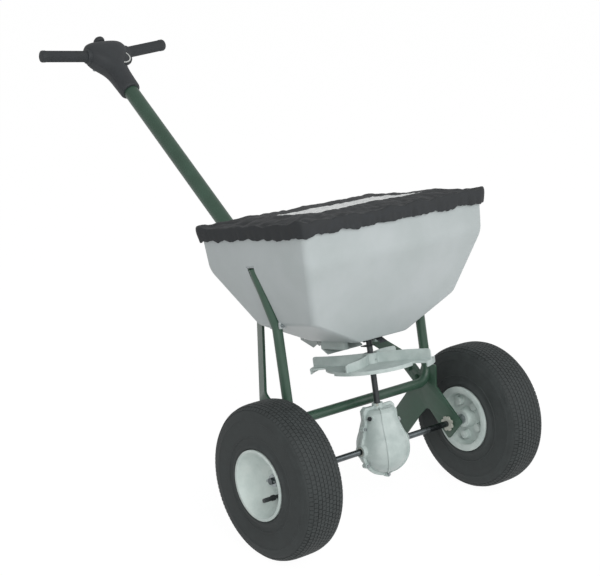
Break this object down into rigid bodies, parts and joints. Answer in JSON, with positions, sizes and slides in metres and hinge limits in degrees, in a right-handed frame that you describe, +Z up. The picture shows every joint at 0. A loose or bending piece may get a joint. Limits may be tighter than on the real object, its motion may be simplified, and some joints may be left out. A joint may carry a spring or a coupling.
{
  "type": "broadcast spreader",
  "caption": "Walk-behind broadcast spreader with a covered tapered hopper, spinning disc, bevel gearbox, two turf wheels, a rear stand and a sloping T handle.",
  "frame": {"origin": "on the ground under the middle of the overall box, 0.470 m behind the axle", "axes": "+X along the axle to the free wheel, +Y backwards towards the handle, +Z up"},
  "size_m": [0.693, 1.2697, 0.9454],
  "materials": {
    "hopper_plastic": "light grey moulded polyethylene, satin",
    "drive_plastic": "pale grey moulded nylon, satin",
    "rim_plastic": "off-white moulded polypropylene, satin",
    "bush_plastic": "natural nylon",
    "gate_plate": "stainless sheet",
    "green_paint": "dark green powder coat",
    "black_plastic": "black moulded plastic, fine texture",
    "dial_plastic": "pale moulded plastic",
    "grip_rubber": "black ribbed rubber",
    "tyre": "black turf tyre rubber",
    "valve_rubber": "black rubber",
    "zinc_steel": "zinc plated steel",
    "shaft_steel": "darkened steel",
    "gear_iron": "greased sintered iron",
    "cover_cloth": "black coated nylon with an elastic hem",
    "window_film": "clear flexible film"
  },
  "bodies": {
    "frame": {"hopper": "hopper_plastic", "shaft_bush": "bush_plastic", "gate_guide": "drive_plastic", "cross_tube": "green_paint", "side_plate_left": "green_paint", "side_plate_right": "green_paint", "stand_foot_left": "black_plastic", "stand_foot_right": "black_plastic", "upright_left": "green_paint", "upright_right": "green_paint", "arm_left": "green_paint", "arm_right": "green_paint", "axle_bearing_left": "bush_plastic", "axle_bearing_right": "bush_plastic", "arm_bolts": "zinc_steel", "plate_bolts": "green_paint", "hopper_bolts": "shaft_steel", "gearbox_front": "drive_plastic", "gearbox_back": "drive_plastic", "gearbox_screws": "zinc_steel", "gearbox_bushes": "bush_plastic", "gearbox_shaft_bush": "bush_plastic", "grease_plug": "black_plastic", "handle_tube": "green_paint", "rod_guide": "black_plastic", "housing_upper": "black_plastic", "housing_lower": "black_plastic", "housing_screws": "zinc_steel", "grip_core_left": "zinc_steel", "grip_core_right": "zinc_steel", "grip_left": "grip_rubber", "grip_right": "grip_rubber", "dial_pin": "zinc_steel"},
    "axle": {"axle": "zinc_steel", "axle_spacers": "zinc_steel", "end_washers": "zinc_steel", "end_pins": "zinc_steel", "bevel_gear": "gear_iron", "gear_pin": "zinc_steel", "rim_left": "rim_plastic", "tyre_left": "tyre", "valve_left": "valve_rubber"},
    "free_wheel": {"rim_right": "rim_plastic", "tyre_right": "tyre", "valve_right": "valve_rubber"},
    "spinner": {"drive_shaft": "shaft_steel", "bevel_pinion": "gear_iron", "pinion_pin": "zinc_steel", "impeller": "drive_plastic", "impeller_pin": "zinc_steel", "agitator": "zinc_steel"},
    "control": {"control_rod": "zinc_steel", "flow_knob": "black_plastic"},
    "gate": {"gate_slide": "gate_plate"},
    "dial": {"rate_dial": "dial_plastic"},
    "cover": {"hopper_cover": "cover_cloth", "cover_window": "window_film"}
  },
  "joints": [
    {"name": "axle_spin", "type": "hinge", "parent": "frame", "child": "axle", "pos_m": [0, -0.47, 0.165], "axis": [1, 0, 0], "continuous": true},
    {"name": "free_wheel_spin", "type": "hinge", "parent": "axle", "child": "free_wheel", "pos_m": [0.294, -0.47, 0.165], "axis": [1, 0, 0], "continuous": true},
    {"name": "spinner_spin", "type": "hinge", "parent": "frame", "child": "spinner", "pos_m": [0, -0.47, 0.165], "axis": [0, 0.2164, 0.9763], "continuous": true},
    {"name": "control_slide", "type": "slide", "parent": "frame", "child": "control", "axis": [0, 0.8261, 0.5635], "range_m": [0, 0.0299]},
    {"name": "gate_slide", "type": "slide", "parent": "frame", "child": "gate", "axis": [0, 0.9763, -0.2164], "range_m": [0, 0.0205]},
    {"name": "dial_turn", "type": "hinge", "parent": "frame", "child": "dial", "pos_m": [0.02, 0.55129, 0.89859], "axis": [0, -0.5635, 0.8261], "range_deg": [0, 270]},
    {"name": "cover_lift", "type": "slide", "parent": "frame", "child": "cover", "axis": [0, 0.2164, 0.9763], "range_m": [0, 0.3]}
  ],
  "couplings": [
    {"joint": "spinner_spin", "follows": "axle_spin", "ratio": -3},
    {"joint": "gate_slide", "follows": "control_slide", "ratio": 0.68455}
  ]
}
